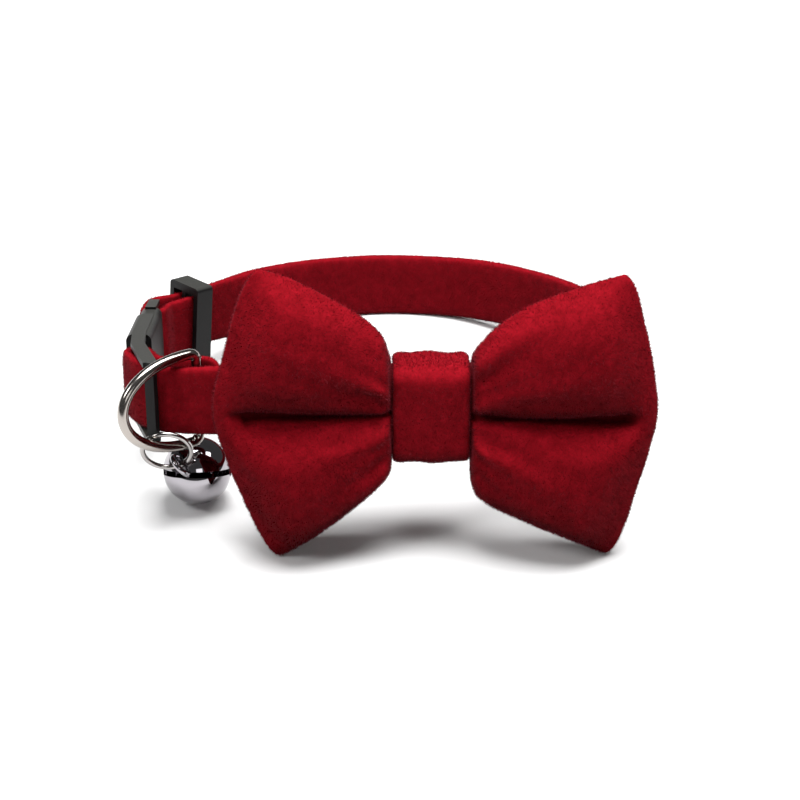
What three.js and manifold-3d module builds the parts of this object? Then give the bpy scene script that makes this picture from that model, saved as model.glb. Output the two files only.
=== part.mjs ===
// A small pet collar with a bow tie, standing on a table as it rests by itself.
// Millimetres, +Z up. The origin is the middle of the footprint, on the table.
//
// Most pieces are laid out in the plan of the neck loop: X to the right, Y away from the
// front, Z along the loop's axis, with 0,0,0 in the middle of the loop. The whole loop is
// then tipped back until the lower tips of the bow and the back of the band touch the table.

import * as THREE from 'three';
import { mergeVertices } from 'three/addons/utils/BufferGeometryUtils.js';
import Module from 'manifold-3d';

const wasm = await Module();
wasm.setup();

// Running clearance between neighbouring pieces
const GAP = 0.3;

// Band: padded velvet strap
const BAND_WIDTH = 10.9;
const BAND_THICK = 2.1;
const FOLD_THICK = 1.5;
const FOLD_WIDTH = 10.2;
const SEWN_END_THICK = 1.1;
const FRONT_REACH = 27.4;
const BACK_RADIUS = 35.5;
const CORNER_RADIUS = 24;
const BEND_RADIUS = 9;

// Buckle: two halves that click together, one bar in each for the strap
const BAR_RADIUS = 0.6;
const BUCKLE_DROP = 0.2;
const BUCKLE_OUTSET = 2.5;
const BUCKLE_INSET = 9.8;
const BODY_THICK = 3.9;
const BODY_TOP = 6.1;
const SOCKET_LENGTH = 10.6;
const PLUG_LENGTH = 4.2;
const PRONG_LENGTH = 7;
const PRONG_THICK = 1.3;
const SOCKET_WALL = 1.0;
const RAIL_WIDTH = 2.1;
const RAIL_THICK = 0.8;
const BAR_RUN = 4.4;
const CROSSBAR_WIDTH = 1.6;
const CROSSBAR_THICK = 0.9;
const CROSSBAR_TURN = 5;

// Slider: a three-bar frame that holds both layers of the strap
const SLIDER_ANGLE = 159.9;
const SLIDER_REACH = 1.008;
const SLIDER_LENGTH = 3.3;
const SLIDER_WALL = 0.95;
const SLIDER_BAR = 0.8;
const SLIDER_EDGE = 1.3;
const SLIDER_LEAN = 6;
const STRAP_BULGE = 0.9;

// D-ring, jump ring and bell
const D_WIRE = 1.65;
const D_FROM_BUCKLE = 9.5;
const D_HALF_WIDTH = 6.9;
const D_DEPTH = 12.9;
const D_CORNER = 1.3;
const D_SWING = 40;
const JUMP_WIRE = 0.8;
const JUMP_RADIUS = 3.6;
const BELL_RADIUS = 5.2;
const BELL_WALL = 0.5;
const BELL_SLOT = 0.9;
const BELL_SLOT_END = 0.8;
const SHANK_WIRE = 0.9;
const SHANK_HALF_WIDTH = 1.7;
const SHANK_RISE = 0.3;

// Bow and the knot that wraps its middle and the band
const BOW_CENTRE_X = 5.75;
const BOW_STAND = 5.6;
const WING_LENGTH = 26;
const WING_HEIGHT = 22;
const LOBE_DEPTH = 5.2;
const WING_BACK_DEPTH = 4.2;
const CREASE_DEPTH = 2.4;
const CLOTH_EDGE = 1.3;
const KNOT_WIDTH = 11.1;
const KNOT_STAND = 7.1;
const KNOT_WALL = 1.4;
const KNOT_CORNER = 1.5;
const KNOT_SAG = 0.2;

// How far the cloth is pressed flat where it rests
const FLATTEN = 0.45;

const bandHalf = BAND_WIDTH / 2;
const bandMid = BAND_THICK / 2;
const bowPlane = FRONT_REACH + BOW_STAND;
const knotFront = FRONT_REACH + KNOT_STAND;

// The buckle's two strap bars stand as far apart as its halves and their gaps need
const buckleLength = BAR_RUN + SOCKET_LENGTH + GAP + PLUG_LENGTH + GAP + FOLD_THICK + GAP + BAR_RADIUS;
const FRONT_BAR = new THREE.Vector2(-(BACK_RADIUS + BUCKLE_OUTSET), -(FRONT_REACH - BUCKLE_INSET));
const BACK_BAR = new THREE.Vector2(FRONT_BAR.x - 0.5, FRONT_BAR.y + buckleLength);
const D_BAR_X = FRONT_BAR.x + D_FROM_BUCKLE;
const SLIDER = new THREE.Vector2(BACK_RADIUS * SLIDER_REACH, 0)
  .rotateAround(new THREE.Vector2(), THREE.MathUtils.degToRad(SLIDER_ANGLE));

const colours = {
  velvet: { color: 0x8e0f1c, roughness: 0.9, metalness: 0 },
  plastic: { color: 0x232426, roughness: 0.5, metalness: 0 },
  nickel: { color: 0xc9c4be, roughness: 0.15, metalness: 1 },
};

function piece(name, geometry, look) {
  const mesh = new THREE.Mesh(geometry, new THREE.MeshStandardMaterial(look));
  mesh.name = name;
  return mesh;
}

// Mesh helpers

function facingOut(geometry) {
  const at = geometry.attributes.position;
  const index = geometry.index.array;
  const a = new THREE.Vector3();
  const b = new THREE.Vector3();
  const c = new THREE.Vector3();
  let volume = 0;
  for (let i = 0; i < index.length; i += 3) {
    a.fromBufferAttribute(at, index[i]);
    b.fromBufferAttribute(at, index[i + 1]);
    c.fromBufferAttribute(at, index[i + 2]);
    volume += a.dot(b.cross(c));
  }
  if (volume < 0) {
    for (let i = 0; i < index.length; i += 3) {
      [index[i + 1], index[i + 2]] = [index[i + 2], index[i + 1]];
    }
  }
  return geometry;
}

// Skins a row of rings, all with the same number of points. An open row gets end caps;
// a cap is fanned from its middle, or laid in strips where the ring folds flat.
function loft(rings, { closed = false, strips = false } = {}) {
  const sides = rings[0].length;
  const points = rings.flat();
  const faces = [];
  const last = closed ? rings.length : rings.length - 1;
  for (let i = 0; i < last; i += 1) {
    const here = i * sides;
    const next = ((i + 1) % rings.length) * sides;
    for (let j = 0; j < sides; j += 1) {
      const k = (j + 1) % sides;
      faces.push(here + j, here + k, next + k, here + j, next + k, next + j);
    }
  }
  const cap = (start, turn) => {
    if (strips) {
      for (let j = 0; j < sides / 2 - 1; j += 1) {
        const quad = [start + j, start + j + 1, start + sides - 2 - j, start + sides - 1 - j];
        const tris = [quad[0], quad[2], quad[1], quad[0], quad[3], quad[2]];
        faces.push(...(turn ? tris.reverse() : tris));
      }
      return;
    }
    const middle = new THREE.Vector3();
    for (let j = 0; j < sides; j += 1) middle.addScaledVector(points[start + j], 1 / sides);
    const hub = points.push(middle) - 1;
    for (let j = 0; j < sides; j += 1) {
      const k = (j + 1) % sides;
      faces.push(...(turn ? [hub, start + j, start + k] : [hub, start + k, start + j]));
    }
  };
  if (!closed) {
    cap(0, false);
    cap((rings.length - 1) * sides, true);
  }
  const geometry = new THREE.BufferGeometry().setFromPoints(points);
  geometry.setIndex(faces);
  return facingOut(geometry);
}

function toSolid(geometry) {
  const bare = geometry.clone();
  bare.deleteAttribute('normal');
  bare.deleteAttribute('uv');
  const merged = mergeVertices(bare, 1e-4);
  return new wasm.Manifold(new wasm.Mesh({
    numProp: 3,
    vertProperties: Float32Array.from(merged.attributes.position.array),
    triVerts: Uint32Array.from(merged.index.array),
  }));
}

function toGeometry(solid) {
  const mesh = solid.getMesh();
  const geometry = new THREE.BufferGeometry();
  geometry.setAttribute('position', new THREE.BufferAttribute(mesh.vertProperties, 3));
  geometry.setIndex(Array.from(mesh.triVerts));
  return geometry;
}

function joined(...geometries) {
  return geometries.map(toSolid).reduce((whole, next) => whole.add(next));
}

function placed(geometry, x, y, z) {
  return geometry.translate(x, y, z);
}

// A padded cloth section: a flattened oval, 1 wide and 1 thick
function padSection(sides, squareness) {
  const section = [];
  for (let k = 0; k < sides; k += 1) {
    const angle = ((k + 0.5) / sides) * 2 * Math.PI;
    const c = Math.cos(angle);
    const s = Math.sin(angle);
    section.push({
      across: 0.5 * Math.sign(c) * Math.abs(c) ** squareness,
      along: 0.5 * Math.sign(s) * Math.abs(s) ** squareness,
    });
  }
  const widest = Math.max(...section.map((p) => p.across)) * 2;
  const tallest = Math.max(...section.map((p) => p.along)) * 2;
  return section.map((p) => ({ across: p.across / widest, along: p.along / tallest }));
}

// Plan path of the strap

// Rounds each corner of a line of rows; thickness, width, drop and lean run evenly between them.
function roundedPath(rows, arcStep) {
  const points = [];
  const at = (row) => new THREE.Vector2(row.x, row.y);
  const add = (p, row) => points.push({ wide: BAND_WIDTH, drop: 0, lean: 0, ...row, x: p.x, y: p.y });
  add(at(rows[0]), rows[0]);
  for (let i = 1; i < rows.length - 1; i += 1) {
    const corner = at(rows[i]);
    if (!rows[i].round) {
      add(corner, rows[i]);
      continue;
    }
    const back = at(rows[i - 1]).sub(corner).normalize();
    const on = at(rows[i + 1]).sub(corner).normalize();
    const half = Math.acos(THREE.MathUtils.clamp(back.dot(on), -1, 1)) / 2;
    const reach = rows[i].round / Math.tan(half);
    const middle = back.clone().add(on).normalize().multiplyScalar(rows[i].round / Math.sin(half)).add(corner);
    const first = back.clone().multiplyScalar(reach).add(corner).sub(middle);
    const turn = (Math.PI - 2 * half) * Math.sign(on.x * back.y - on.y * back.x);
    const steps = Math.max(2, Math.ceil(Math.abs(turn) / arcStep));
    for (let k = 0; k <= steps; k += 1) {
      const spoke = first.clone().rotateAround(new THREE.Vector2(), (turn * k) / steps);
      add(spoke.add(middle), rows[i]);
    }
  }
  add(at(rows[rows.length - 1]), rows[rows.length - 1]);
  return points;
}

function arcPath(centre, radius, from, to, steps) {
  const points = [];
  for (let k = 1; k < steps; k += 1) {
    const angle = from + ((to - from) * k) / steps;
    points.push({
      x: centre.x + radius * Math.cos(angle),
      y: centre.y + radius * Math.sin(angle),
      thick: BAND_THICK,
      wide: BAND_WIDTH,
      drop: 0,
      lean: 0,
    });
  }
  return points;
}

// Corners of the strap's turn round a bar, square to the way the strap runs into it
function turnRound(bar, heading) {
  const radius = BAR_RADIUS + GAP + FOLD_THICK / 2;
  const side = new THREE.Vector2(-heading.y, heading.x);
  const end = bar.clone().addScaledVector(heading, radius);
  return {
    radius,
    left: end.clone().addScaledVector(side, radius),
    right: end.clone().addScaledVector(side, -radius),
  };
}

const bandMidRadius = BACK_RADIUS - bandMid;
const sliderSlot = (SLIDER_BAR + FOLD_THICK) / 2 + GAP;

// The strap leaves the back circle along a tangent that runs through the slider's outer slot
function sliderFrame() {
  const middleLine = bandMidRadius - sliderSlot;
  const leave = Math.atan2(SLIDER.y, SLIDER.x) - Math.acos(middleLine / SLIDER.length());
  const outward = new THREE.Vector2(Math.cos(leave), Math.sin(leave));
  const onward = new THREE.Vector2(-outward.y, outward.x);
  return { leave, outward, onward };
}

const slider = sliderFrame();
const frontY = -(FRONT_REACH - bandMid);
const dBar = new THREE.Vector2(D_BAR_X, frontY + bandMid + GAP + D_WIRE / 2);
const frontHeading = new THREE.Vector2(-0.42, 0.907).normalize();
const backHeading = new THREE.Vector2(-0.1, -0.995).normalize();

// From the sewn end at the front left, round the front bar, past the bow and round the back
function frontRows(corner) {
  const turn = turnRound(FRONT_BAR, frontHeading);
  const behindD = dBar.y + D_WIRE / 2 + GAP + FOLD_THICK / 2;
  const sewn = frontY + bandMid + GAP + SEWN_END_THICK / 2;
  const run = (turn.left.y - frontY) / frontHeading.y;
  const bend = turn.left.clone().addScaledVector(frontHeading, -run);
  const inBuckle = { thick: FOLD_THICK, wide: FOLD_WIDTH, drop: BUCKLE_DROP };
  return [
    { x: dBar.x + 3.4, y: sewn, thick: SEWN_END_THICK },
    { x: dBar.x + 1.1, y: behindD, round: 1.6, thick: FOLD_THICK },
    { x: FRONT_BAR.x + 3.6, y: behindD + 0.3, round: 4, ...inBuckle, drop: BUCKLE_DROP / 2 },
    { x: turn.right.x, y: turn.right.y, round: turn.radius, ...inBuckle },
    { x: turn.left.x, y: turn.left.y, round: turn.radius, ...inBuckle },
    { x: bend.x, y: bend.y, round: BEND_RADIUS, ...inBuckle, thick: (FOLD_THICK + BAND_THICK) / 2 },
    { x: dBar.x + 6, y: frontY, thick: BAND_THICK },
    { x: corner.x, y: frontY, thick: BAND_THICK },
  ];
}

// From the back circle through the slider, round the back bar and into the slider again
function backRows() {
  const turn = turnRound(BACK_BAR, backHeading);
  const { outward, onward } = slider;
  const start = outward.clone().multiplyScalar(bandMidRadius);
  const bySlider = (side, along, bulge = 0) => {
    const out = side * sliderSlot + bulge;
    const p = SLIDER.clone().addScaledVector(outward, out).addScaledVector(onward, along);
    return { x: p.x, y: p.y };
  };
  const inBuckle = { thick: FOLD_THICK, wide: FOLD_WIDTH, drop: BUCKLE_DROP };
  const lean = Math.tan(THREE.MathUtils.degToRad(SLIDER_LEAN));
  const inSlider = { thick: FOLD_THICK, wide: FOLD_WIDTH, lean };
  const backward = { ...inSlider, lean: -lean };
  return [
    { x: start.x, y: start.y, thick: BAND_THICK },
    { ...bySlider(1, -0.7 * SLIDER_LENGTH), ...inSlider },
    { ...bySlider(1, 0.7 * SLIDER_LENGTH), ...inSlider },
    { ...bySlider(1, 1.9 * SLIDER_LENGTH, STRAP_BULGE), round: 3, ...inBuckle, drop: 0.2 * BUCKLE_DROP },
    { x: turn.right.x, y: turn.right.y, round: turn.radius, ...inBuckle },
    { x: turn.left.x, y: turn.left.y, round: turn.radius, ...inBuckle },
    { ...bySlider(-1, 1.7 * SLIDER_LENGTH), round: 3, ...inBuckle },
    { ...bySlider(-1, 0.7 * SLIDER_LENGTH), ...backward },
    { ...bySlider(-1, -0.4 * SLIDER_LENGTH), ...backward },
  ];
}

function strapPath() {
  const inset = BACK_RADIUS - CORNER_RADIUS;
  const cornerY = CORNER_RADIUS - FRONT_REACH;
  const corner = new THREE.Vector2(Math.sqrt(inset ** 2 - cornerY ** 2), cornerY);
  const meet = Math.atan2(corner.y, corner.x);
  const step = 0.4;
  return [
    ...roundedPath(frontRows(corner), step),
    ...arcPath(corner, CORNER_RADIUS - bandMid, -Math.PI / 2, meet, 9),
    ...arcPath(new THREE.Vector2(), bandMidRadius, meet, slider.leave, 28),
    ...roundedPath(backRows(), step),
  ];
}

function strapGeometry() {
  const path = strapPath();
  const section = padSection(12, 0.42);
  const rings = path.map((p, i) => {
    const before = path[Math.max(i - 1, 0)];
    const after = path[Math.min(i + 1, path.length - 1)];
    const along = new THREE.Vector2(after.x - before.x, after.y - before.y).normalize();
    return section.map((q) => {
      const height = q.along * p.wide;
      const out = q.across * p.thick - p.lean * height;
      return new THREE.Vector3(p.x + along.y * out, p.y - along.x * out, height - p.drop);
    });
  });
  return loft(rings);
}

// Slider

function roundedRect(path, halfWidth, halfHeight, radius) {
  path.absarc(-halfWidth + radius, halfHeight - radius, radius, Math.PI, Math.PI / 2, true);
  path.absarc(halfWidth - radius, halfHeight - radius, radius, Math.PI / 2, 0, true);
  path.absarc(halfWidth - radius, -halfHeight + radius, radius, 0, -Math.PI / 2, true);
  path.absarc(-halfWidth + radius, -halfHeight + radius, radius, -Math.PI / 2, -Math.PI, true);
  path.closePath();
  return path;
}

function box(x, y, z, sizeX, sizeY, sizeZ) {
  return placed(new THREE.BoxGeometry(sizeX, sizeY, sizeZ), x, y, z);
}

function sliderMesh() {
  const slotWidth = FOLD_THICK + 2 * GAP;
  const halfWidth = sliderSlot + slotWidth / 2 + SLIDER_WALL;
  const windowHalf = bandHalf + GAP;
  const outline = roundedRect(new THREE.Shape(), halfWidth, windowHalf + SLIDER_EDGE, 0.7);
  const shape = { depth: SLIDER_LENGTH, bevelEnabled: false, curveSegments: 3 };
  const frame = new THREE.ExtrudeGeometry(outline, shape).translate(0, 0, -SLIDER_LENGTH / 2);
  const slot = (middle) => toSolid(box(middle, 0, 0, slotWidth, 2 * windowHalf, 2 * SLIDER_LENGTH));
  const solid = toSolid(frame).subtract(slot(sliderSlot)).subtract(slot(-sliderSlot));
  const mesh = piece('strap_slider', toGeometry(solid), colours.plastic);
  const outward = new THREE.Vector3(slider.outward.x, slider.outward.y, 0);
  const up = new THREE.Vector3(0, 0, 1);
  mesh.quaternion.setFromRotationMatrix(new THREE.Matrix4().makeBasis(outward, up, outward.clone().cross(up)));
  mesh.rotateZ(THREE.MathUtils.degToRad(SLIDER_LEAN));
  mesh.position.set(SLIDER.x, SLIDER.y, 0);
  return mesh;
}

// Buckle

const railFrom = FOLD_WIDTH / 2 + GAP;
const bodyBack = BACK_BAR.y - BAR_RADIUS - GAP - FOLD_THICK - GAP;
const bodyFront = bodyBack - PLUG_LENGTH - GAP - SOCKET_LENGTH;
const bodyX = FRONT_BAR.x - 0.5;

// A flat strip that follows a plan line, from z to z + thick
function plateAlong(line, width, z, thick) {
  const side = (sign) => line.map((p, i) => {
    const before = line[Math.max(i - 1, 0)];
    const after = line[Math.min(i + 1, line.length - 1)];
    const along = after.clone().sub(before).normalize();
    return new THREE.Vector2(p.x - along.y * sign * width / 2, p.y + along.x * sign * width / 2);
  });
  const shape = new THREE.Shape([...side(1), ...side(-1).reverse()]);
  return new THREE.ExtrudeGeometry(shape, { depth: thick, bevelEnabled: false }).translate(0, 0, z);
}

function bothRails(line, width) {
  const half = railFrom;
  return [plateAlong(line, width, half, RAIL_THICK), plateAlong(line, width, -half - RAIL_THICK, RAIL_THICK)];
}

function upright(at, radius) {
  const height = 2 * (railFrom + RAIL_THICK / 2);
  return placed(new THREE.CylinderGeometry(radius, radius, height, 8).rotateX(Math.PI / 2), at.x, at.y, 0);
}

// A buckle body with rounded long edges, from y to y + length
function bodyBlock(y, length, thick, half) {
  const outline = roundedRect(new THREE.Shape(), thick / 2, half, 1.1);
  const block = new THREE.ExtrudeGeometry(outline, { depth: length, bevelEnabled: false, curveSegments: 3 });
  return placed(block.rotateX(Math.PI / 2), bodyX, y + length, 0);
}

// The crossbar lies on the outside of the strap where it turns the front corner
function crossbar() {
  const turn = turnRound(FRONT_BAR, frontHeading);
  const run = (turn.left.y - frontY) / frontHeading.y;
  const bend = turn.left.clone().addScaledVector(frontHeading, -run);
  const into = frontHeading.clone().add(new THREE.Vector2(1, 0)).normalize();
  const half = Math.acos(frontHeading.x) / 2;
  const centre = bend.clone().addScaledVector(into, BEND_RADIUS / Math.sin(half));
  const out = into.clone().negate().rotateAround(new THREE.Vector2(), THREE.MathUtils.degToRad(CROSSBAR_TURN));
  const reach = BEND_RADIUS + (FOLD_THICK + BAND_THICK) / 4 + GAP + CROSSBAR_THICK / 2;
  return { at: centre.addScaledVector(out, reach), out };
}

function socketGeometry() {
  const bar = crossbar();
  const yaw = Math.atan2(bar.out.y, bar.out.x);
  const height = 2 * (railFrom + RAIL_THICK);
  const cross = new THREE.BoxGeometry(CROSSBAR_THICK, CROSSBAR_WIDTH, height).rotateZ(yaw);
  const railLine = [
    bar.at.clone(),
    FRONT_BAR.clone().lerp(bar.at, 0.5),
    FRONT_BAR.clone(),
    new THREE.Vector2(bodyX, bodyFront + 1),
    new THREE.Vector2(bodyX, bodyFront + SOCKET_LENGTH - 0.4),
  ];
  const solid = joined(
    placed(cross, bar.at.x, bar.at.y, 0),
    ...bothRails(railLine, RAIL_WIDTH),
    upright(FRONT_BAR, BAR_RADIUS),
    bodyBlock(bodyFront, SOCKET_LENGTH, BODY_THICK, BODY_TOP),
  );
  const hollow = box(
    bodyX,
    bodyFront + SOCKET_LENGTH - (PRONG_LENGTH + GAP) / 2 + 1,
    0,
    BODY_THICK - 2 * SOCKET_WALL,
    PRONG_LENGTH + GAP + 2,
    2 * (BODY_TOP - SOCKET_WALL),
  );
  return toGeometry(solid.subtract(toSolid(hollow)));
}

function plugGeometry() {
  const start = bodyBack - PLUG_LENGTH;
  const prongWide = BODY_THICK - 2 * SOCKET_WALL - 2 * GAP;
  const prongHalf = BODY_TOP - SOCKET_WALL - GAP;
  const prongs = [-1, 1].map((side) => box(
    bodyX,
    start - PRONG_LENGTH / 2 + 0.2,
    side * (prongHalf - PRONG_THICK / 2),
    prongWide,
    PRONG_LENGTH + 0.4,
    PRONG_THICK,
  ));
  const railLine = [
    new THREE.Vector2(bodyX, bodyBack - 1),
    new THREE.Vector2(bodyX, bodyBack),
    BACK_BAR.clone().addScaledVector(backHeading, -0.7),
  ];
  return toGeometry(joined(
    bodyBlock(start, PLUG_LENGTH, BODY_THICK - 0.6, BODY_TOP - 0.3),
    box(bodyX, start - PRONG_LENGTH / 2 + 0.2, 0, prongWide, PRONG_LENGTH + 0.4, 1.6),
    ...prongs,
    ...bothRails(railLine, RAIL_WIDTH - 0.4),
    upright(BACK_BAR, BAR_RADIUS),
  ));
}

function buckleMeshes() {
  const socket = piece('buckle_socket', socketGeometry(), colours.plastic);
  const plug = piece('buckle_plug', plugGeometry(), colours.plastic);
  socket.position.z = -BUCKLE_DROP;
  plug.position.z = -BUCKLE_DROP;
  return [socket, plug];
}

// D-ring

function wireLoop(outline, wire, sides) {
  const rings = outline.map((p, i) => {
    const before = outline[(i + outline.length - 1) % outline.length];
    const after = outline[(i + 1) % outline.length];
    const along = after.clone().sub(before).normalize();
    return Array.from({ length: sides }, (_, k) => {
      const angle = ((k + 0.5) / sides) * 2 * Math.PI;
      const out = (Math.cos(angle) * wire) / 2;
      return new THREE.Vector3(p.x + along.y * out, (Math.sin(angle) * wire) / 2, p.y - along.x * out);
    });
  });
  return loft(rings, { closed: true });
}

const dDrop = D_HALF_WIDTH - (bandHalf + GAP + D_WIRE / 2);

// Half an oval on a straight bar, with rounded corners where they meet
function dRingMesh() {
  const outline = [];
  const straight = D_HALF_WIDTH - D_CORNER;
  for (let k = 0; k < 10; k += 1) outline.push(new THREE.Vector2(0, straight * ((2 * k) / 9 - 1)));
  const corner = (side, from) => {
    for (let k = 1; k < 5; k += 1) {
      const turn = (Math.PI / 2) * (from ? k / 5 : 1 - k / 5);
      const x = D_CORNER * (1 - Math.cos(turn));
      outline.push(new THREE.Vector2(x, side * (straight + D_CORNER * Math.sin(turn))));
    }
  };
  corner(1, true);
  for (let k = 0; k <= 26; k += 1) {
    const turn = Math.PI * (k / 26 - 0.5);
    const reach = D_CORNER + (D_DEPTH - D_CORNER) * Math.cos(turn) ** 0.9;
    outline.push(new THREE.Vector2(reach, -D_HALF_WIDTH * Math.sin(turn)));
  }
  corner(-1, false);
  const mesh = piece('d_ring', wireLoop(outline, D_WIRE, 8), colours.nickel);
  mesh.position.set(dBar.x, dBar.y, -dDrop);
  mesh.rotation.z = Math.PI + THREE.MathUtils.degToRad(D_SWING);
  return mesh;
}

// Bow

// Edges of the wings, seen from the front. out is a share of WING_LENGTH from the knot,
// up a share of WING_HEIGHT from the middle. top and bottom run from the knot to the tips,
// outer runs from the lower tip over the point at mid height to the upper tip.
const LEFT_WING = {
  top: [
    { out: 0, up: 0.41 },
    { out: 0.05, up: 0.53 },
    { out: 0.15, up: 0.66 },
    { out: 0.3, up: 0.785 },
    { out: 0.5, up: 0.91 },
    { out: 0.7, up: 0.995 },
  ],
  outer: [
    { out: 0.645, up: -1.0 },
    { out: 0.69, up: -0.96 },
    { out: 0.781, up: -0.723 },
    { out: 0.885, up: -0.391 },
    { out: 0.982, up: 0.03 },
    { out: 0.958, up: 0.22 },
    { out: 0.885, up: 0.523 },
    { out: 0.8, up: 0.823 },
    { out: 0.745, up: 0.985 },
    { out: 0.7, up: 0.995 },
  ],
  bottom: [
    { out: 0, up: -0.37 },
    { out: 0.03, up: -0.44 },
    { out: 0.1, up: -0.55 },
    { out: 0.335, up: -0.782 },
    { out: 0.577, up: -0.975 },
    { out: 0.645, up: -1.0 },
  ],
};
const RIGHT_WING = {
  top: [
    { out: 0, up: 0.44 },
    { out: 0.03, up: 0.5 },
    { out: 0.108, up: 0.6 },
    { out: 0.273, up: 0.714 },
    { out: 0.565, up: 0.864 },
    { out: 0.81, up: 0.955 },
  ],
  outer: [
    { out: 0.765, up: -1.01 },
    { out: 0.81, up: -0.98 },
    { out: 0.88, up: -0.69 },
    { out: 0.942, up: -0.432 },
    { out: 1.023, up: -0.02 },
    { out: 1.017, up: 0.123 },
    { out: 0.965, up: 0.459 },
    { out: 0.896, up: 0.705 },
    { out: 0.853, up: 0.92 },
    { out: 0.81, up: 0.955 },
  ],
  bottom: [
    { out: 0, up: -0.455 },
    { out: 0.03, up: -0.52 },
    { out: 0.092, up: -0.605 },
    { out: 0.25, up: -0.736 },
    { out: 0.47, up: -0.85 },
    { out: 0.765, up: -1.01 },
  ],
};

const WING_ROWS = 16;
const WING_COLUMNS = 20;

function edgeCurve(rows) {
  return new THREE.SplineCurve(rows.map((row) => new THREE.Vector2(row.out * WING_LENGTH, row.up * WING_HEIGHT)));
}

// Blends the four edges of a wing; u runs out from the knot, s up from the lower edge
function wingMap(wing) {
  const top = edgeCurve(wing.top);
  const bottom = edgeCurve(wing.bottom);
  const outer = edgeCurve(wing.outer);
  const corners = [bottom.getPoint(0), top.getPoint(0), bottom.getPoint(1), top.getPoint(1)];
  return (u, s) => {
    const low = bottom.getPointAt(u);
    const high = top.getPointAt(u);
    const inside = corners[0].clone().lerp(corners[1], s);
    const outside = outer.getPointAt(s);
    const flat = low.clone().lerp(high, s);
    const across = inside.clone().lerp(outside, u);
    const twice = inside.clone().lerp(corners[2].clone().lerp(corners[3], s), u);
    return flat.add(across).sub(twice);
  };
}

const smooth = (from, to, x) => THREE.MathUtils.smoothstep(x, from, to);

// How far the front of a wing stands out (positive) or sinks in (negative) from the bow's plane
function frontDepth(u, v) {
  const rise = Math.min(1, 0.42 + 1.1 * u);
  const fall = Math.sqrt(Math.max(0, 1 - smooth(0.62, 1, u) ** 2 * (2 - smooth(0.62, 1, u))));
  const pad = rise * Math.max(fall, 0) * LOBE_DEPTH;
  const away = Math.abs(v);
  const lobe = Math.sqrt(Math.max(0, 1 - (2 * away ** 0.85 - 1) ** 2)) ** 0.8;
  const whole = Math.sqrt(Math.max(0, 1 - away ** 2.4));
  const creased = 1 - smooth(0.8, 0.98, u);
  const valley = CREASE_DEPTH * Math.max(0, 1 - away / 0.16) * creased * rise;
  return pad * (creased * lobe + (1 - creased) * whole) - valley + CLOTH_EDGE / 2;
}

function backDepth(u, v) {
  const fall = Math.sqrt(Math.max(0, 1 - smooth(0.55, 1, u) ** 2));
  const rise = Math.min(1, 0.75 + u);
  return WING_BACK_DEPTH * rise * fall * Math.sqrt(Math.max(0, 1 - Math.abs(v) ** 2.6)) + CLOTH_EDGE / 2;
}

const pinch = KNOT_WIDTH / 2 + GAP;

function wingRings(wing, side) {
  const map = wingMap(wing);
  const rings = [];
  for (let i = 0; i <= WING_COLUMNS; i += 1) {
    const u = 1 - (1 - i / WING_COLUMNS) ** 1.4;
    const front = [];
    const back = [];
    for (let j = 0; j <= WING_ROWS; j += 1) {
      const v = (2 * j) / WING_ROWS - 1;
      const p = map(u, (v + 1) / 2);
      const x = BOW_CENTRE_X + side * (pinch + p.x);
      front.push(new THREE.Vector3(x, -bowPlane - frontDepth(u, v), p.y));
      back.push(new THREE.Vector3(x, -bowPlane + backDepth(u, v), p.y));
    }
    rings.push([...front, ...back.reverse()]);
  }
  return rings;
}

// The gathered middle, squeezed to fit inside the knot
function middleRings() {
  const half = bandHalf - 0.2;
  const front = knotFront - KNOT_WALL - GAP;
  const back = FRONT_REACH + GAP;
  const ring = (x) => {
    const points = [];
    for (let j = 0; j <= WING_ROWS; j += 1) {
      const v = (2 * j) / WING_ROWS - 1;
      points.push(new THREE.Vector3(x, -front + 0.5 * Math.abs(v) ** 3, v * half));
    }
    for (let j = WING_ROWS; j >= 0; j -= 1) {
      const v = (2 * j) / WING_ROWS - 1;
      points.push(new THREE.Vector3(x, -back - 0.5 * Math.abs(v) ** 3, v * half));
    }
    return points;
  };
  const reach = pinch - 0.05;
  return [-reach, 0, reach].map((x) => ring(BOW_CENTRE_X + x));
}

function bowGeometry() {
  const left = wingRings(LEFT_WING, -1).reverse();
  const right = wingRings(RIGHT_WING, 1);
  return loft([...left, ...middleRings(), ...right], { strips: true });
}

// Knot

function knotGeometry() {
  const front = knotFront - KNOT_WALL / 2;
  const back = FRONT_REACH - BAND_THICK - GAP - KNOT_WALL / 2;
  const halfDepth = (front - back) / 2;
  const halfHeight = bandHalf + GAP + KNOT_SAG + KNOT_WALL / 2;
  const outline = roundedRect(new THREE.Path(), halfDepth, halfHeight, KNOT_CORNER);
  const points = outline.getSpacedPoints(40).slice(0, -1);
  const section = padSection(10, 0.45);
  const middle = -(front + back) / 2;
  const rings = points.map((p, i) => {
    const before = points[(i + points.length - 1) % points.length];
    const after = points[(i + 1) % points.length];
    const along = after.clone().sub(before).normalize();
    return section.map((q) => {
      const out = q.across * KNOT_WALL;
      const y = middle + p.x + along.y * out;
      const z = p.y - along.x * out - KNOT_SAG;
      return new THREE.Vector3(BOW_CENTRE_X + q.along * KNOT_WIDTH, y, z);
    });
  });
  return loft(rings, { closed: true });
}

// Resting on the table

// The loop tips back until the bow's lower tips and the back of the band are level
function restingTilt(strap, bow) {
  const lowest = (geometry, tilt) => {
    const at = geometry.attributes.position;
    let low = Infinity;
    for (let i = 0; i < at.count; i += 1) {
      low = Math.min(low, at.getZ(i) * Math.cos(tilt) - at.getY(i) * Math.sin(tilt));
    }
    return low;
  };
  let from = 0;
  let to = Math.PI / 4;
  for (let k = 0; k < 40; k += 1) {
    const tilt = (from + to) / 2;
    if (lowest(bow, tilt) < lowest(strap, tilt)) from = tilt;
    else to = tilt;
  }
  return { tilt: from, lift: -lowest(bow, from) - FLATTEN };
}

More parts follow.
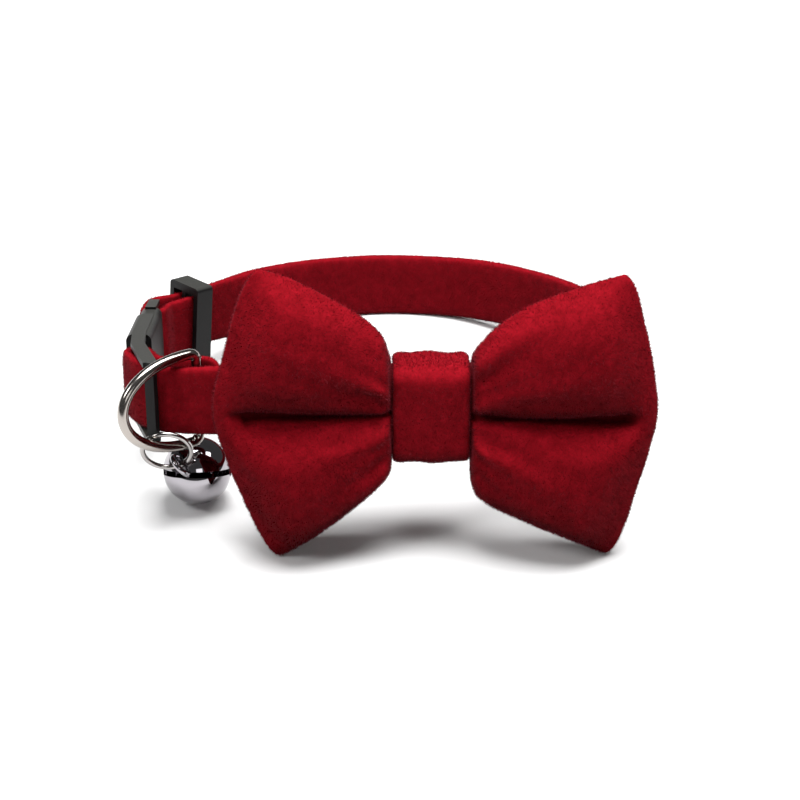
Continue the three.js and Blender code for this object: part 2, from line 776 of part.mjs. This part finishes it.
// Presses the cloth flat where it would reach below the table
function pressFlat(geometry, { tilt, lift }) {
  const at = geometry.attributes.position;
  const up = new THREE.Vector3(0, -Math.sin(tilt), Math.cos(tilt));
  const p = new THREE.Vector3();
  for (let i = 0; i < at.count; i += 1) {
    p.fromBufferAttribute(at, i);
    const height = p.dot(up) + lift;
    if (height < 0) {
      p.addScaledVector(up, -height);
      at.setXYZ(i, p.x, p.y, p.z);
    }
  }
  return geometry;
}

// Bell and jump ring, hung from the D-ring's bar. The bell comes to rest on the table

const BELL_FROM_BAR = new THREE.Vector3(-1, 3.618, -13.137);
const SHANK_AIM = new THREE.Vector3(-0.3441, -0.817, 0.4626).normalize();
const SHANK_FACE = new THREE.Vector3(-0.743, -0.0643, -0.6662).normalize();
const SLOT_AIM = new THREE.Vector3(0, -0.9743, 0.2253).normalize();
const JUMP_FROM_BAR = new THREE.Vector3(-4.618, -2.815, -7.427);
const JUMP_AXIS = new THREE.Vector3(-0.0383, 0.899, 0.4363).normalize();
const barMiddle = new THREE.Vector3(dBar.x, dBar.y, -dDrop);

// The wire eye soldered to the ball; its inner half is lost in the wall
function shankGeometry() {
  const side = SHANK_AIM.clone().cross(SHANK_FACE).normalize();
  const face = side.clone().cross(SHANK_AIM);
  const basis = new THREE.Matrix4().makeBasis(side, SHANK_AIM, face);
  const eye = new THREE.TorusGeometry(SHANK_HALF_WIDTH, SHANK_WIRE / 2, 6, 14);
  return placed(eye, 0, BELL_RADIUS + SHANK_RISE, 0).applyMatrix4(basis);
}

function bellGeometry() {
  const ball = (radius) => toSolid(new THREE.SphereGeometry(radius, 24, 16));
  const across = new THREE.Vector3(1, 0, 0).cross(SLOT_AIM).normalize();
  const side = SLOT_AIM.clone().cross(across).normalize();
  const basis = new THREE.Matrix4().makeBasis(side, SLOT_AIM, across);
  const slot = box(0, BELL_RADIUS, 0, 3 * BELL_RADIUS, 1.9 * BELL_RADIUS, BELL_SLOT).applyMatrix4(basis);
  const end = new THREE.CylinderGeometry(BELL_SLOT_END, BELL_SLOT_END, 3 * BELL_RADIUS, 12).rotateZ(Math.PI / 2);
  const ends = placed(end, 0, 0.15 * BELL_RADIUS, 0).applyMatrix4(basis);
  const solid = ball(BELL_RADIUS).add(toSolid(shankGeometry())).subtract(ball(BELL_RADIUS - BELL_WALL));
  return toGeometry(solid.subtract(toSolid(slot)).subtract(toSolid(ends)));
}

function bellMeshes() {
  const bell = piece('bell', bellGeometry(), colours.nickel);
  bell.position.copy(barMiddle).add(BELL_FROM_BAR);
  const jump = piece('jump_ring', new THREE.TorusGeometry(JUMP_RADIUS, JUMP_WIRE / 2, 6, 24), colours.nickel);
  jump.quaternion.setFromUnitVectors(new THREE.Vector3(0, 0, 1), JUMP_AXIS);
  jump.position.copy(barMiddle).add(JUMP_FROM_BAR);
  return [bell, jump];
}

// Assembly

const strapShape = strapGeometry();
const bowShape = bowGeometry();
const rest = restingTilt(strapShape, bowShape);
const tipped = new THREE.Group();
tipped.add(
  piece('collar_strap', pressFlat(strapShape, rest), colours.velvet),
  piece('bow', pressFlat(bowShape, rest), colours.velvet),
  piece('bow_knot', knotGeometry(), colours.velvet),
  sliderMesh(),
  ...buckleMeshes(),
  dRingMesh(),
  ...bellMeshes(),
);
tipped.rotation.x = -rest.tilt;
tipped.position.z = rest.lift;

const collar = new THREE.Group();
collar.add(tipped);
const footprint = new THREE.Box3().setFromObject(collar, true).getCenter(new THREE.Vector3());
collar.position.set(-footprint.x, -footprint.y, 0);

export default collar;
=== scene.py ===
import math

import bmesh
import bpy
import numpy as np
from mathutils import Matrix, Vector, noise


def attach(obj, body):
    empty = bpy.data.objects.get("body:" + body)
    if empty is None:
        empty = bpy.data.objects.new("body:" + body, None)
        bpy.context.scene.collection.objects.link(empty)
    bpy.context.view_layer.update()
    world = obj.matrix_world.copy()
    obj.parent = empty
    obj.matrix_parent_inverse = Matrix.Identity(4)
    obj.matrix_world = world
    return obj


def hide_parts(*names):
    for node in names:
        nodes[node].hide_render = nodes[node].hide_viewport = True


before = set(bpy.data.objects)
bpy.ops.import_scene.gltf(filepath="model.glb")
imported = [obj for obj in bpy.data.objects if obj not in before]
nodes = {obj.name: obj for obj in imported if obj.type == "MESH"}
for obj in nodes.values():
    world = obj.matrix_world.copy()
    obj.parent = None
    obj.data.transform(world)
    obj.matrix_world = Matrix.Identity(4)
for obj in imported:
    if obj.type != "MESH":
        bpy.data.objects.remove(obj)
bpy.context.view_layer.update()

# All lengths are in metres.

# The resting frame of the loop: its tilt back from the table and its middle
TILT = math.radians(13.978)
LOOP_AT = Vector((0.0013567, 0.0025408, 0.0132980))

# Camera, fitted to the outline of the band, bow, D-ring and bell. LOOP_PX is where the middle of
# the loop lies in the photo.
PHOTO_PX = 800
LOOP_PX = (391, 343.5)
FOCAL_PX = 1700.0
SENSOR_MM = 36
CAMERA_DISTANCE = 0.274
ABOVE_LOOP = math.radians(18)

# The bow, in the loop's frame: the knot's middle and half width, and where each wing starts
KNOT_X = 0.00575
KNOT_HALF = 0.0055
WING_START = 0.00585

# The puckers that fan out from the knot: how far behind the wing's start their lines meet, how
# far out they fade, where they set in, and their depth
PUCKER_FAN = 0.0075
PUCKER_REACH = 0.0075
PUCKER_START = 0.0012
PUCKER_DEPTH = 0.00042

# The long crease of each wing: its height on the left and on the right, the front beyond which it
# lies, and its length. It draws in the cloth up to CREASE_REACH away, sets in over CREASE_START and
# tapers off over CREASE_TAPER. The bow's hollows sink by CREASE_SINK.
CREASE_LEFT_Z = 0.0005
CREASE_RIGHT_Z = -0.0001
CREASE_FRONT_Y = -0.0333
CREASE_LENGTH = 0.0245
CREASE_REACH = 0.0034
CREASE_POWER = 2.2
CREASE_START = 0.001
CREASE_TAPER = 0.003
CREASE_SINK = 0.0003

# The unevenness of each cloth, in rows of noise scale, seed and depth
BOW_UNEVEN = ((95, 3, 0.00032), (320, 5, 0.00007))
KNOT_UNEVEN = ((240, 9, 0.00008),)
STRAP_UNEVEN = ((90, 11, 0.00012), (380, 12, 0.00004))
KNOT_RIDGE = 0.00012

# Painted shade down in a crease: how much of it is mixed into the cloth, and its near-black colour
CREASE_PAINTED_SHADE = 0.7
CREASE_PAINTED_SHADE_COLOUR = (0.035, 0.0006, 0.0015)

# The pile: a fibre's width, how deep its root sits, and how far it leans at random and down
FIBRE_WIDTH = 0.00007
ROOT_SINK = 5e-5
LEAN_SPREAD = 0.32
LEAN_DOWN = 0.12

# Meshes: corners nearer than WELD are one, and triangles under JOIN_ANGLE are joined to quads
WELD = 2e-6
JOIN_ANGLE = math.radians(60)
ROUNDING_LEVELS = 2
EDGE_ROUND = 0.00022
EDGE_ANGLE = math.radians(40)

# The bell: its middle, the way its slot faces, and the aim and face of its wire eye
BELL_AT = Vector((-0.0281433, -0.0206590, 0.0052))
BELL_RADIUS = 0.0052
BELL_WALL = 0.0005
SLOT_WIDTH = 0.0009
SLOT_END_RADIUS = 0.0008
SLOT_AIM = Vector((0, -0.891, 0.454)).normalized()
EYE_AIM = Vector((-0.3441, -0.6811, 0.6463)).normalized()
EYE_FACE = Vector((-0.7430, -0.2233, -0.6309)).normalized()
EYE_STAND = 0.0003
EYE_RADIUS = 0.0017
EYE_WIRE = 0.00045

# The stage
FLOOR_SIZE = 6
FLOOR_DROP = 0.0001
LIGHT_AIM = (0, 0, 0.01)

scene = bpy.context.scene
COLLAR, DANGLE = "collar", "d_ring_set"


def place_camera():
    pitch = ABOVE_LOOP + TILT
    forward = Vector((0, math.cos(pitch), -math.sin(pitch)))
    data = bpy.data.cameras.new("camera")
    data.sensor_width = SENSOR_MM
    data.lens = SENSOR_MM * FOCAL_PX / PHOTO_PX
    camera = bpy.data.objects.new("camera", data)
    scene.collection.objects.link(camera)
    camera.location = LOOP_AT - forward * CAMERA_DISTANCE
    down = math.atan((PHOTO_PX / 2 - LOOP_PX[1]) / FOCAL_PX)
    right = math.atan((PHOTO_PX / 2 - LOOP_PX[0]) / FOCAL_PX)
    aim = Vector((math.sin(right), math.cos(pitch + down), -math.sin(pitch + down)))
    camera.rotation_euler = aim.to_track_quat("-Z", "Y").to_euler()
    data.clip_start = 0.01
    data.clip_end = 20
    scene.camera = camera


# Materials

class Nodes:
    """Short calls for building a node tree."""

    def __init__(self, name):
        self.material = bpy.data.materials.new(name)
        self.material.use_nodes = True
        self.tree = self.material.node_tree
        self.shader = self.tree.nodes["Principled BSDF"]

    def add(self, kind, **values):
        node = self.tree.nodes.new(kind)
        for key, value in values.items():
            if hasattr(node, key):
                setattr(node, key, value)
            else:
                node.inputs[key.replace("_", " ")].default_value = value
        return node

    def link(self, a, b):
        self.tree.links.new(a, b)


def painted_light_by_facing(m, place, low, high, value_low, value_high):
    """A value that runs evenly from faces that look down to faces that look up, for painting light
    and shade by which way a face looks.
    """
    parts = m.add("ShaderNodeSeparateXYZ")
    m.link(place.outputs["Normal"], parts.inputs[0])
    run = m.add("ShaderNodeMapRange")
    run.inputs["From Min"].default_value = low
    run.inputs["From Max"].default_value = high
    run.inputs["To Min"].default_value = value_low
    run.inputs["To Max"].default_value = value_high
    m.link(parts.outputs["Z"], run.inputs["Value"])
    return run.outputs["Result"]


def velvet(name, dark, light, sheen):
    m = Nodes(name)
    shader = m.shader
    shader.inputs["Roughness"].default_value = 0.85
    shader.inputs["Specular IOR Level"].default_value = 0.04
    shader.inputs["Sheen Weight"].default_value = sheen
    shader.inputs["Sheen Roughness"].default_value = 0.34
    shader.inputs["Sheen Tint"].default_value = (1.0, 0.16, 0.22, 1)
    place = m.add("ShaderNodeTexCoord")
    tufts = m.add("ShaderNodeTexNoise", Scale=2600.0, Detail=3.0, Roughness=0.6)
    marks = m.add("ShaderNodeTexNoise", Scale=700.0, Detail=2.0, Roughness=0.5)
    m.link(place.outputs["Object"], tufts.inputs["Vector"])
    m.link(place.outputs["Object"], marks.inputs["Vector"])
    both = m.add("ShaderNodeMath", operation="MULTIPLY")
    m.link(tufts.outputs["Fac"], both.inputs[0])
    m.link(marks.outputs["Fac"], both.inputs[1])
    ramp = m.add("ShaderNodeValToRGB")
    ramp.color_ramp.elements[0].position = 0.12
    ramp.color_ramp.elements[0].color = (*dark, 1)
    ramp.color_ramp.elements[1].position = 0.42
    ramp.color_ramp.elements[1].color = (*light, 1)
    m.link(both.outputs[0], ramp.inputs["Fac"])
    # Painted shade in the creases: the colour is mixed towards near black where the cloth lies deep
    # in a hollow
    deep = m.add("ShaderNodeAttribute", attribute_name="hollow")
    share = m.add("ShaderNodeMath", operation="MULTIPLY")
    share.inputs[1].default_value = CREASE_PAINTED_SHADE
    m.link(deep.outputs["Fac"], share.inputs[0])
    shade = m.add("ShaderNodeMixRGB", blend_type="MIX")
    shade.inputs["Color2"].default_value = (*CREASE_PAINTED_SHADE_COLOUR, 1)
    m.link(share.outputs[0], shade.inputs["Fac"])
    m.link(ramp.outputs["Color"], shade.inputs["Color1"])
    painted_light_mix = m.add("ShaderNodeMixRGB", blend_type="MULTIPLY")
    painted_light_mix.inputs["Fac"].default_value = 1.0
    m.link(shade.outputs["Color"], painted_light_mix.inputs["Color1"])
    # Painted light from above: faces that look up are painted lighter, faces that look sideways or
    # down darker
    painted_top_light = painted_light_by_facing(m, place, low=-0.5, high=0.75, value_low=0.22, value_high=1.05)
    m.link(painted_top_light, painted_light_mix.inputs["Color2"])
    m.link(painted_light_mix.outputs["Color"], shader.inputs["Base Color"])
    bump = m.add("ShaderNodeBump", Strength=0.35, Distance=0.00015)
    m.link(tufts.outputs["Fac"], bump.inputs["Height"])
    m.link(bump.outputs["Normal"], shader.inputs["Normal"])
    return m.material


def plastic():
    m = Nodes("plastic_moulded")
    m.shader.inputs["Roughness"].default_value = 0.46
    m.shader.inputs["Specular IOR Level"].default_value = 0.16
    place = m.add("ShaderNodeTexCoord")
    # Painted light from above: the tops are painted lighter than the sides
    painted_top_light = m.add("ShaderNodeMixRGB", blend_type="MIX")
    painted_top_light.inputs["Color1"].default_value = (0.0052, 0.0050, 0.0052, 1)
    painted_top_light.inputs["Color2"].default_value = (0.034, 0.034, 0.031, 1)
    share = painted_light_by_facing(m, place, low=0.5, high=0.95, value_low=0.0, value_high=1.0)
    m.link(share, painted_top_light.inputs["Fac"])
    m.link(painted_top_light.outputs["Color"], m.shader.inputs["Base Color"])
    grain = m.add("ShaderNodeTexNoise", Scale=2600.0, Detail=2.0)
    bump = m.add("ShaderNodeBump", Strength=0.22, Distance=0.00006)
    m.link(place.outputs["Object"], grain.inputs["Vector"])
    m.link(grain.outputs["Fac"], bump.inputs["Height"])
    m.link(bump.outputs["Normal"], m.shader.inputs["Normal"])
    return m.material


def metal(name, colour, roughness):
    m = Nodes(name)
    m.shader.inputs["Base Color"].default_value = (*colour, 1)
    m.shader.inputs["Metallic"].default_value = 1.0
    m.shader.inputs["Roughness"].default_value = roughness
    return m.material


# Mesh helpers

def new_object(name, mesh, material, body):
    obj = bpy.data.objects.new(name, mesh)
    scene.collection.objects.link(obj)
    mesh.materials.append(material)
    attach(obj, body)
    return obj


def quads_of(node):
    """The CAD node's surface with its triangles joined to quads where they lie in pairs."""
    bm = bmesh.new()
    bm.from_mesh(nodes[node].data)
    bmesh.ops.remove_doubles(bm, verts=bm.verts, dist=WELD)
    bmesh.ops.join_triangles(
        bm, faces=bm.faces, angle_face_threshold=JOIN_ANGLE, angle_shape_threshold=JOIN_ANGLE
    )
    return bm


def subdivided(bm):
    """The mesh of a bmesh after rounding. The bmesh is freed."""
    mesh = bpy.data.meshes.new("work")
    bm.to_mesh(mesh)
    bm.free()
    obj = bpy.data.objects.new("work", mesh)
    scene.collection.objects.link(obj)
    rounding = obj.modifiers.new("rounding", "SUBSURF")
    rounding.levels = ROUNDING_LEVELS
    depsgraph = bpy.context.evaluated_depsgraph_get()
    result = bpy.data.meshes.new_from_object(obj.evaluated_get(depsgraph))
    bpy.data.objects.remove(obj)
    bpy.data.meshes.remove(mesh)
    return result


def arrays(mesh):
    """Where each corner lies and which way it faces."""
    count = len(mesh.vertices)
    at = np.empty(count * 3)
    normal = np.empty(count * 3)
    mesh.vertices.foreach_get("co", at)
    mesh.vertices.foreach_get("normal", normal)
    return at.reshape(-1, 3), normal.reshape(-1, 3)


def shifted(mesh, at):
    mesh.vertices.foreach_set("co", np.ascontiguousarray(at, dtype=np.float32).ravel())
    mesh.update()


def to_loop(at):
    """World metres to the loop's own frame, in which Z runs along its axis."""
    p = at - np.array(LOOP_AT)
    c, s = math.cos(TILT), math.sin(TILT)
    return np.stack([p[:, 0], p[:, 1] * c - p[:, 2] * s, p[:, 1] * s + p[:, 2] * c], 1)


def field(at, scale, seed):
    """Smooth noise at each point, about -1 to 1."""
    offset = Vector((seed * 17.3, seed * 5.1, seed * 9.7))
    return np.array([noise.noise(Vector(p) * scale + offset) for p in at])


def unevenness(at, rows):
    return sum(field(at, scale, seed) * depth for scale, seed, depth in rows)


def above_table(at):
    at[:, 2] = np.maximum(at[:, 2], 0.0)
    return at


def hollows(mesh, rounds=8, limit=0.00032):
    """How far each point lies below its smoothed surroundings: 0 on open cloth, 1 in a crease."""
    ends = np.empty(len(mesh.edges) * 2, dtype=np.int64)
    mesh.edges.foreach_get("vertices", ends)
    a, b = ends[0::2], ends[1::2]
    at, normal = arrays(mesh)
    count = len(at)
    degree = np.bincount(a, minlength=count) + np.bincount(b, minlength=count)
    even = at.copy()
    for _ in range(rounds):
        total = np.stack([
            np.bincount(a, weights=even[b, k], minlength=count)
            + np.bincount(b, weights=even[a, k], minlength=count)
            for k in range(3)
        ], 1)
        even = total / degree[:, None]
    return np.clip(((even - at) * normal).sum(1) / limit, 0, 1)


def mark_hollows(mesh, values):
    layer = mesh.attributes.new("hollow", "FLOAT", "POINT")
    layer.data.foreach_set("value", np.ascontiguousarray(values, dtype=np.float32))


# Pile: short fibres that stand on the cloth, each one narrow triangle

def pile(surface, name, count, length, seed, material):
    rng = np.random.default_rng(seed)
    mesh = surface.data
    mesh.calc_loop_triangles()
    tris = np.empty(len(mesh.loop_triangles) * 3, dtype=np.int64)
    mesh.loop_triangles.foreach_get("vertices", tris)
    tris = tris.reshape(-1, 3)
    at, normal = arrays(mesh)
    a, b, c = at[tris[:, 0]], at[tris[:, 1]], at[tris[:, 2]]
    area = np.linalg.norm(np.cross(b - a, c - a), axis=1)
    pick = rng.choice(len(tris), size=count, p=area / area.sum())
    r1 = np.sqrt(rng.random(count))[:, None]
    r2 = rng.random(count)[:, None]
    weights = (1 - r1, r1 * (1 - r2), r1 * r2)
    root = weights[0] * a[pick] + weights[1] * b[pick] + weights[2] * c[pick]
    up = sum(w * normal[tris[pick, k]] for k, w in enumerate(weights))
    up /= np.linalg.norm(up, axis=1)[:, None] + 1e-9
    sunk = np.empty(len(mesh.vertices), dtype=np.float32)
    mesh.attributes["hollow"].data.foreach_get("value", sunk)
    deep = sum(w[:, 0] * sunk[tris[pick, k]] for k, w in enumerate(weights))
    lean = rng.normal(0, LEAN_SPREAD, (count, 3))
    lean[:, 2] -= LEAN_DOWN
    aim = up + lean
    aim /= np.linalg.norm(aim, axis=1)[:, None]
    side = np.cross(aim, rng.normal(0, 1, (count, 3)))
    side /= np.linalg.norm(side, axis=1)[:, None] + 1e-9
    long = (length * rng.uniform(0.55, 1.25, count) * (1 - 0.85 * deep))[:, None]
    half = 0.5 * FIBRE_WIDTH * rng.uniform(0.7, 1.3, count)[:, None]
    foot = up * ROOT_SINK
    points = np.stack([root - side * half - foot, root + side * half - foot, root + aim * long], 1)
    points = above_table(points.reshape(-1, 3))
    fibres = bpy.data.meshes.new(name)
    fibres.vertices.add(3 * count)
    fibres.vertices.foreach_set("co", points.astype(np.float32).ravel())
    fibres.loops.add(3 * count)
    fibres.loops.foreach_set("vertex_index", np.arange(3 * count, dtype=np.int32))
    fibres.polygons.add(count)
    fibres.polygons.foreach_set("loop_start", np.arange(0, 3 * count, 3, dtype=np.int32))
    fibres.update(calc_edges=True)
    # The fibres carry the crease depth, so that the painted crease shade falls on them too
    mark_hollows(fibres, np.repeat(deep, 3))
    soft = up + 0.14 * aim + rng.normal(0, 0.06, (count, 3))
    soft /= np.linalg.norm(soft, axis=1)[:, None]
    fibres.polygons.foreach_set("use_smooth", np.ones(count, dtype=bool))
    fibres.normals_split_custom_set_from_vertices(np.repeat(soft, 3, axis=0).astype(np.float32))
    obj = new_object(name, fibres, material, COLLAR)
    obj.visible_shadow = False


# Soft pieces

def soft_piece(node, smooth_steps, material, deform, sink=0.0):
    """The CAD node's form rounded and folded, in place of the node. Its hollows sink in a little."""
    bm = quads_of(node)
    for _ in range(smooth_steps):
        bmesh.ops.smooth_vert(
            bm, verts=bm.verts, factor=0.25, use_axis_x=True, use_axis_y=True, use_axis_z=True
        )
    mesh = subdivided(bm)
    at, normal = arrays(mesh)
    deep = hollows(mesh)
    shifted(mesh, above_table(deform(at, normal) - normal * (sink * deep)[:, None]))
    # The crease depth is kept on the cloth; besides sinking it, it drives the painted shade in the
    # creases
    mark_hollows(mesh, deep)
    mesh.polygons.foreach_set("use_smooth", np.ones(len(mesh.polygons), dtype=bool))
    obj = new_object(node + "_cloth", mesh, material, COLLAR)
    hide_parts(node)
    return obj


def bow_folds(at, normal):
    """Puckers that run out from the knot, and the slight unevenness of the stuffed wings."""
    p = to_loop(at)
    out = np.maximum(np.abs(p[:, 0] - KNOT_X) - WING_START, 0)
    height = p[:, 2]
    slope = np.arctan2(height, out + PUCKER_FAN)
    side = np.sign(p[:, 0] - KNOT_X)
    fade = np.exp(-out / PUCKER_REACH) * np.clip(out / PUCKER_START, 0, 1)
    waves = np.cos(slope * 15 + 1.3 * side) + 0.6 * np.cos(slope * 26 - 0.7 * side)
    rise = PUCKER_DEPTH * waves * fade + unevenness(at, BOW_UNEVEN)
    return at + normal * rise[:, None] + crease_pinch(p, out, side)


def crease_pinch(p, out, side):
    """Draws the cloth beside the long crease together, so that it closes to a narrow fold."""
    middle = np.where(side < 0, CREASE_LEFT_Z, CREASE_RIGHT_Z)
    d = p[:, 2] - middle
    share = np.clip(np.abs(d) / CREASE_REACH, 0, 1)
    closed = np.sign(d) * CREASE_REACH * share ** CREASE_POWER
    front = np.clip((CREASE_FRONT_Y - p[:, 1]) / CREASE_START, 0, 1)
    inner = np.clip(out / CREASE_START, 0, 1)
    outer = np.clip((CREASE_LENGTH - out) / CREASE_TAPER, 0, 1)
    rise = np.where(share < 1, closed - d, 0) * front * (inner * outer)
    return rise[:, None] * np.array([0, math.sin(TILT), math.cos(TILT)])


def knot_folds(at, normal):
    """Soft ridges across the wrap."""
    p = to_loop(at)
    across = (p[:, 0] - KNOT_X) / KNOT_HALF
    ridges = KNOT_RIDGE * np.cos(across * 7 + 2.2 * field(at, 130, 8))
    return at + normal * (ridges + unevenness(at, KNOT_UNEVEN))[:, None]


def strap_folds(at, normal):
    return at + normal * unevenness(at, STRAP_UNEVEN)[:, None]


def build_cloth():
    cloth = velvet("velvet_cloth", (0.18, 0.0022, 0.006), (0.28, 0.0042, 0.011), 0.12)
    tips = velvet("velvet_pile", (0.20, 0.0024, 0.007), (0.32, 0.0055, 0.014), 0.2)
    bow = soft_piece("bow", 1, cloth, bow_folds, sink=CREASE_SINK)
    knot = soft_piece("bow_knot", 0, cloth, knot_folds)
    strap = soft_piece("collar_strap", 0, cloth, strap_folds)
    pile(bow, "bow_pile", count=190000, length=0.00034, seed=1, material=tips)
    pile(knot, "knot_pile", count=50000, length=0.00028, seed=2, material=tips)
    pile(strap, "strap_pile", count=190000, length=0.00028, seed=3, material=tips)


# Hard pieces

def build_plastic():
    black = plastic()
    for name in ("buckle_socket", "buckle_plug", "strap_slider"):
        obj = nodes[name]
        obj.data.materials.clear()
        obj.data.materials.append(black)
        edges = obj.modifiers.new("edges", "BEVEL")
        edges.width = EDGE_ROUND
        edges.segments = 2
        edges.limit_method = "ANGLE"
        edges.angle_limit = EDGE_ANGLE


def round_wire(node, swell, material):
    """The CAD wire rounded. The swell makes up for what rounding takes off."""
    mesh = subdivided(quads_of(node))
    at, normal = arrays(mesh)
    shifted(mesh, at + normal * swell)
    mesh.polygons.foreach_set("use_smooth", np.ones(len(mesh.polygons), dtype=bool))
    obj = new_object(node + "_wire", mesh, material, DANGLE)
    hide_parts(node)


def basis(x, y, z, at):
    return Matrix.Translation(at) @ Matrix((x, y, z)).transposed().to_4x4()


def cutter(name, build, matrix):
    """An object that the bell is cut from or with. build_bell removes it again."""
    bm = bmesh.new()
    build(bm)
    bm.transform(matrix)
    mesh = bpy.data.meshes.new(name)
    bm.to_mesh(mesh)
    bm.free()
    obj = bpy.data.objects.new(name, mesh)
    scene.collection.objects.link(obj)
    return obj


def ball(radius):
    return lambda bm: bmesh.ops.create_uvsphere(bm, u_segments=96, v_segments=64, radius=radius)


def rod(radius, depth):
    return lambda bm: bmesh.ops.create_cone(
        bm, cap_ends=True, segments=40, radius1=radius, radius2=radius, depth=depth
    )


def add_eye(bm):
    """The wire eye soldered to the ball."""
    side = EYE_AIM.cross(EYE_FACE).normalized()
    face = side.cross(EYE_AIM)
    middle = BELL_AT + EYE_AIM * (BELL_RADIUS + EYE_STAND)
    rows, sides = 48, 16
    rings = []
    for i in range(rows):
        turn = 2 * math.pi * i / rows
        out = side * math.cos(turn) + EYE_AIM * math.sin(turn)
        ring = []
        for k in range(sides):
            q = 2 * math.pi * k / sides
            reach = EYE_RADIUS + EYE_WIRE * math.cos(q)
            ring.append(bm.verts.new(middle + out * reach + face * EYE_WIRE * math.sin(q)))
        rings.append(ring)
    for i in range(rows):
        here, after = rings[i], rings[(i + 1) % rows]
        for k in range(sides):
            j = (k + 1) % sides
            bm.faces.new((here[k], after[k], after[j], here[j]))


def build_bell(material):
    """The CAD bell's shell, slot and eye again, with enough faces for clean reflections."""
    across = Vector((1, 0, 0)).cross(SLOT_AIM).normalized()
    side = SLOT_AIM.cross(across).normalized()
    place = basis(side, SLOT_AIM, across, BELL_AT)
    r = BELL_RADIUS
    shell = cutter("bell_work", ball(r), place)
    slot = Matrix.Translation((0, r, 0)) @ Matrix.Diagonal((3 * r, 1.9 * r, SLOT_WIDTH, 1))
    ends = Matrix.Translation((0, 0.15 * r, 0)) @ Matrix.Rotation(math.pi / 2, 4, "Y")
    cuts = [
        cutter("inside", ball(r - BELL_WALL), place),
        cutter("slot", lambda bm: bmesh.ops.create_cube(bm, size=1), place @ slot),
        cutter("ends", rod(SLOT_END_RADIUS, 3 * r), place @ ends),
    ]
    for cut in cuts:
        step = shell.modifiers.new(cut.name, "BOOLEAN")
        step.operation = "DIFFERENCE"
        step.solver = "EXACT"
        step.object = cut
    depsgraph = bpy.context.evaluated_depsgraph_get()
    mesh = bpy.data.meshes.new_from_object(shell.evaluated_get(depsgraph))
    for obj in [shell, *cuts]:
        bpy.data.objects.remove(obj)
    bm = bmesh.new()
    bm.from_mesh(mesh)
    add_eye(bm)
    bmesh.ops.recalc_face_normals(bm, faces=bm.faces)
    bm.to_mesh(mesh)
    bm.free()
    mesh.polygons.foreach_set("use_smooth", np.ones(len(mesh.polygons), dtype=bool))
    mesh.set_sharp_from_angle(angle=math.radians(35))
    obj = new_object("bell_ball", mesh, material, DANGLE)
    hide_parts("bell")


def build_metal():
    warm = metal("nickel_ring", (0.36, 0.33, 0.305), 0.17)
    bright = metal("nickel_bell", (0.33, 0.315, 0.335), 0.04)
    thin = metal("nickel_wire", (0.36, 0.34, 0.33), 0.13)
    round_wire("d_ring", swell=0.00008, material=warm)
    round_wire("jump_ring", swell=0.00006, material=thin)
    build_bell(bright)


# Stage

def stage_material(name, colour, roughness):
    m = Nodes(name)
    m.shader.inputs["Base Color"].default_value = (*colour, 1)
    m.shader.inputs["Roughness"].default_value = roughness
    m.shader.inputs["Specular IOR Level"].default_value = 0.1
    return m.material


def build_stage():
    bpy.ops.mesh.primitive_plane_add(size=FLOOR_SIZE, location=(0, 0, -FLOOR_DROP))
    floor = bpy.context.object
    floor.name = "floor"
    floor.data.materials.append(stage_material("floor_paper", (0.86, 0.86, 0.86), 0.9))


def area_light(name, at, size, power):
    data = bpy.data.lights.new(name, "AREA")
    data.shape = "RECTANGLE"
    data.size, data.size_y = size
    data.energy = power
    light = bpy.data.objects.new(name, data)
    scene.collection.objects.link(light)
    light.location = at
    light.rotation_euler = (Vector(LIGHT_AIM) - Vector(at)).to_track_quat("-Z", "Y").to_euler()


def soft_sun(strength, spread):
    """Light that doesn't fall off, so that the floor stays pale out to the horizon."""
    data = bpy.data.lights.new("sky", "SUN")
    data.energy = strength
    data.angle = math.radians(spread)
    light = bpy.data.objects.new("sky", data)
    scene.collection.objects.link(light)
    light.rotation_euler = Vector((-0.1, -0.15, -1)).to_track_quat("-Z", "Y").to_euler()


def build_light():
    world = bpy.data.worlds.new("world")
    world.use_nodes = True
    world.node_tree.nodes["Background"].inputs["Color"].default_value = (1, 1, 1, 1)
    world.node_tree.nodes["Background"].inputs["Strength"].default_value = 0.09
    scene.world = world
    soft_sun(strength=2.9, spread=36)
    area_light("top", (0, 0.10, 0.75), (0.42, 0.42), power=4.2)
    area_light("left_top", (-0.42, -0.18, 0.5), (0.16, 0.22), power=1.3)
    area_light("right_top", (0.39, 0.13, 0.68), (0.2, 0.26), power=1.6)
    area_light("front", (0.15, -0.7, 0.45), (0.3, 0.2), power=0.5)


place_camera()
build_cloth()
build_plastic()
build_metal()
build_stage()
build_light()
scene.view_settings.view_transform = "Standard"
